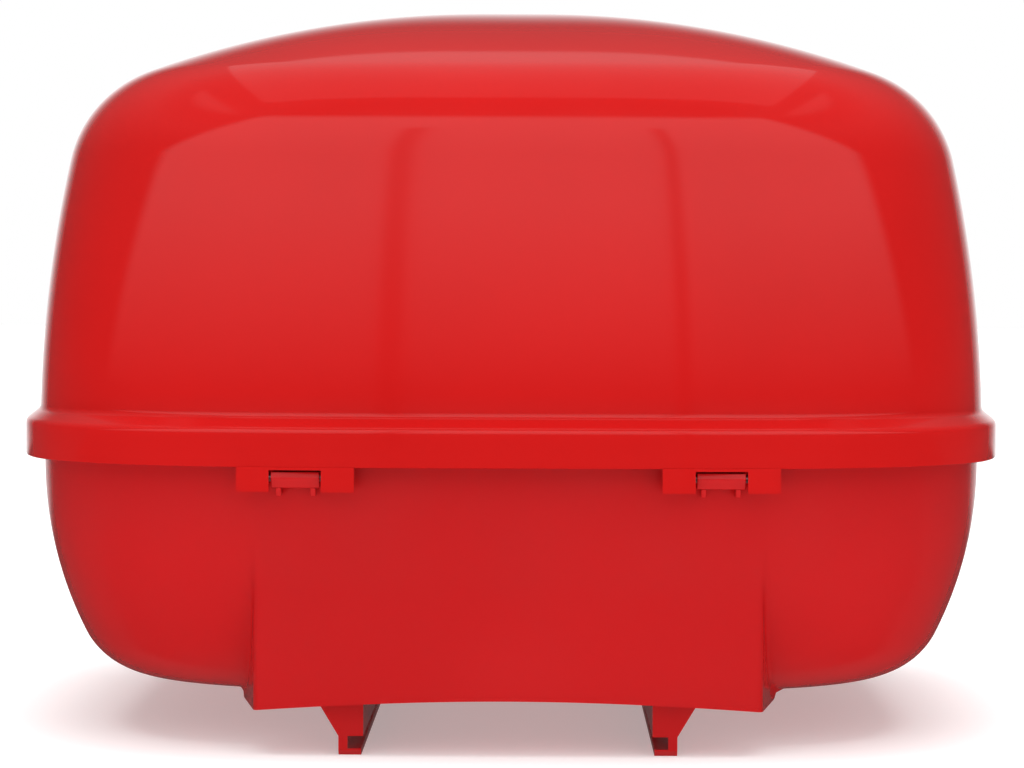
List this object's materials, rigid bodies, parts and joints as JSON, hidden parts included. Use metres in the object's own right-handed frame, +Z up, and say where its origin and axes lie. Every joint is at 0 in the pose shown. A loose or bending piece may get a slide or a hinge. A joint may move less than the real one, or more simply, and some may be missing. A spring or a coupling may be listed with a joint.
{
  "type": "motorcycle top case",
  "caption": "Hinged clamshell luggage case for a motorcycle rack, with a domed lid, bowl base, latch, lock, handle and slide rails.",
  "frame": {"origin": "on the surface it stands on, under the middle of the whole case's bounding box", "axes": "+Z up, -Y towards the hinge side, +Y towards the latch and handle side, +X to the right as seen from the hinge side"},
  "size_m": [0.4, 0.3998, 0.2958],
  "materials": {
    "case_red": "gloss",
    "base_red": "gloss",
    "latch_black": "satin",
    "handle_black": "satin",
    "seal_rubber": "matte",
    "zinc_steel": "satin",
    "spring_steel": "satin",
    "lock_chrome": "polished"
  },
  "bodies": {
    "base": {"base_shell": "base_red", "rail_left": "base_red", "rail_right": "base_red", "rail_screws": "zinc_steel", "rail_washers": "zinc_steel", "latch_housing": "base_red", "housing_screws": "zinc_steel", "latch_pin": "zinc_steel", "latch_spring": "spring_steel", "lock_body": "lock_chrome", "handle_bracket_left": "base_red", "handle_bracket_right": "base_red", "handle_pins": "zinc_steel", "handle_screws": "zinc_steel", "catch_bracket": "latch_black", "catch_bracket_screws": "zinc_steel", "catch_pin": "zinc_steel", "catch_spring": "spring_steel"},
    "lid": {"lid_shell": "case_red", "hinge_pin_left": "zinc_steel", "hinge_pin_right": "zinc_steel", "seal_gasket": "seal_rubber", "keeper_plate": "zinc_steel", "keeper_screws": "zinc_steel"},
    "latch": {"latch_lever": "latch_black"},
    "lock": {"lock_cylinder": "lock_chrome", "lock_cam": "zinc_steel", "cam_screw": "zinc_steel"},
    "handle": {"carry_handle": "handle_black"},
    "catch": {"catch_lever": "latch_black"}
  },
  "joints": [
    {"name": "lid_hinge", "type": "hinge", "parent": "base", "child": "lid", "pos_m": [0, -0.1928, 0.1072], "axis": [1, 0, 0], "range_deg": [0, 90]},
    {"name": "latch_press", "type": "hinge", "parent": "base", "child": "latch", "pos_m": [0, 0.1877, 0.072], "axis": [-1, 0, 0], "range_deg": [0, 20], "stiffness_Nm_per_rad": 0.25, "springref_deg": -20.05},
    {"name": "lock_turn", "type": "hinge", "parent": "base", "child": "lock", "pos_m": [0.036, 0.19, 0.074], "axis": [0, 1, 0], "range_deg": [-90, 0]},
    {"name": "handle_swing", "type": "hinge", "parent": "base", "child": "handle", "pos_m": [0, 0.17516, 0.048], "axis": [1, 0, 0], "range_deg": [0, 90]},
    {"name": "catch_release", "type": "hinge", "parent": "base", "child": "catch", "pos_m": [0, 0.1147, 0.012], "axis": [-1, 0, 0], "range_deg": [0, 10], "stiffness_Nm_per_rad": 0.3, "springref_deg": -11.46, "deforming": ["catch_spring"]}
  ]
}
